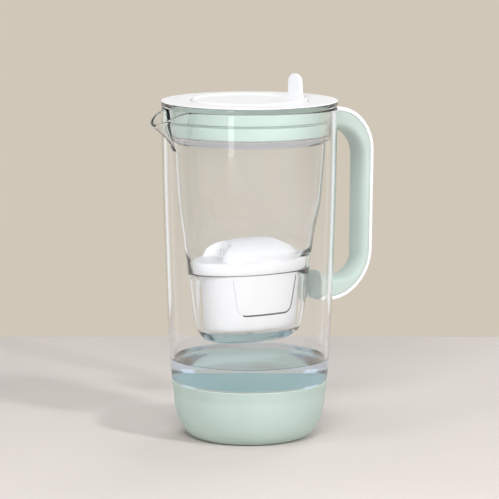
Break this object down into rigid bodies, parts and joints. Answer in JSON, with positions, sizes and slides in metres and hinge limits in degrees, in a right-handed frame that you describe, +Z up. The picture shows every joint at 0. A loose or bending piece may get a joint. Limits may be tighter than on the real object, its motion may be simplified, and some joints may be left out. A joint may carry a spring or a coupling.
{
  "type": "water filter pitcher",
  "caption": "Glass pitcher with a pouring lip, soft base and loop handle; a lift-out clear funnel holds a filter cartridge under a lid with a flip-up filling cover.",
  "frame": {"origin": "centre of the flat underside, on the jug's axis", "axes": "+Z up, +X from the jug's axis towards the handle, so the spout points along -X"},
  "size_m": [0.2034, 0.141, 0.29],
  "materials": {
    "jug_glass": "clear polished",
    "mint_silicone": "soft matte",
    "mint_plastic": "satin",
    "white_plastic": "semi-gloss",
    "bond_rubber": "matte",
    "clear_plastic": "clear polished",
    "cartridge_white": "satin",
    "screen_fleece": "woven mesh",
    "granules": "loose grains",
    "mint_lid": "satin",
    "seal_rubber": "matte",
    "pin_steel": "ground"
  },
  "bodies": {
    "jug": {"glass_jug": "jug_glass", "silicone_base": "mint_silicone", "handle_grip": "mint_plastic", "handle_strip": "white_plastic", "upper_bond_pad": "bond_rubber", "lower_bond_pad": "bond_rubber"},
    "funnel": {"funnel": "clear_plastic"},
    "cartridge": {"cartridge_cup": "cartridge_white", "cartridge_cap": "cartridge_white", "inlet_screen": "screen_fleece", "filter_granules": "granules", "outlet_screen": "screen_fleece"},
    "lid": {"lid_plate": "white_plastic", "lid_plug_ring": "mint_lid", "lid_seal": "seal_rubber", "hinge_pin": "pin_steel"},
    "flip": {"flip_cover": "white_plastic"}
  },
  "joints": [
    {"name": "funnel_lift", "type": "slide", "parent": "jug", "child": "funnel", "axis": [0, 0, 1], "range_m": [0, 0.2]},
    {"name": "cartridge_lift", "type": "slide", "parent": "funnel", "child": "cartridge", "axis": [0, 0, 1], "range_m": [0, 0.09]},
    {"name": "lid_lift", "type": "slide", "parent": "funnel", "child": "lid", "axis": [0, 0, 1], "range_m": [0, 0.06]},
    {"name": "flip_hinge", "type": "hinge", "parent": "lid", "child": "flip", "pos_m": [0.0485, 0, 0.2686], "axis": [0, 1, 0], "range_deg": [0, 85]}
  ]
}
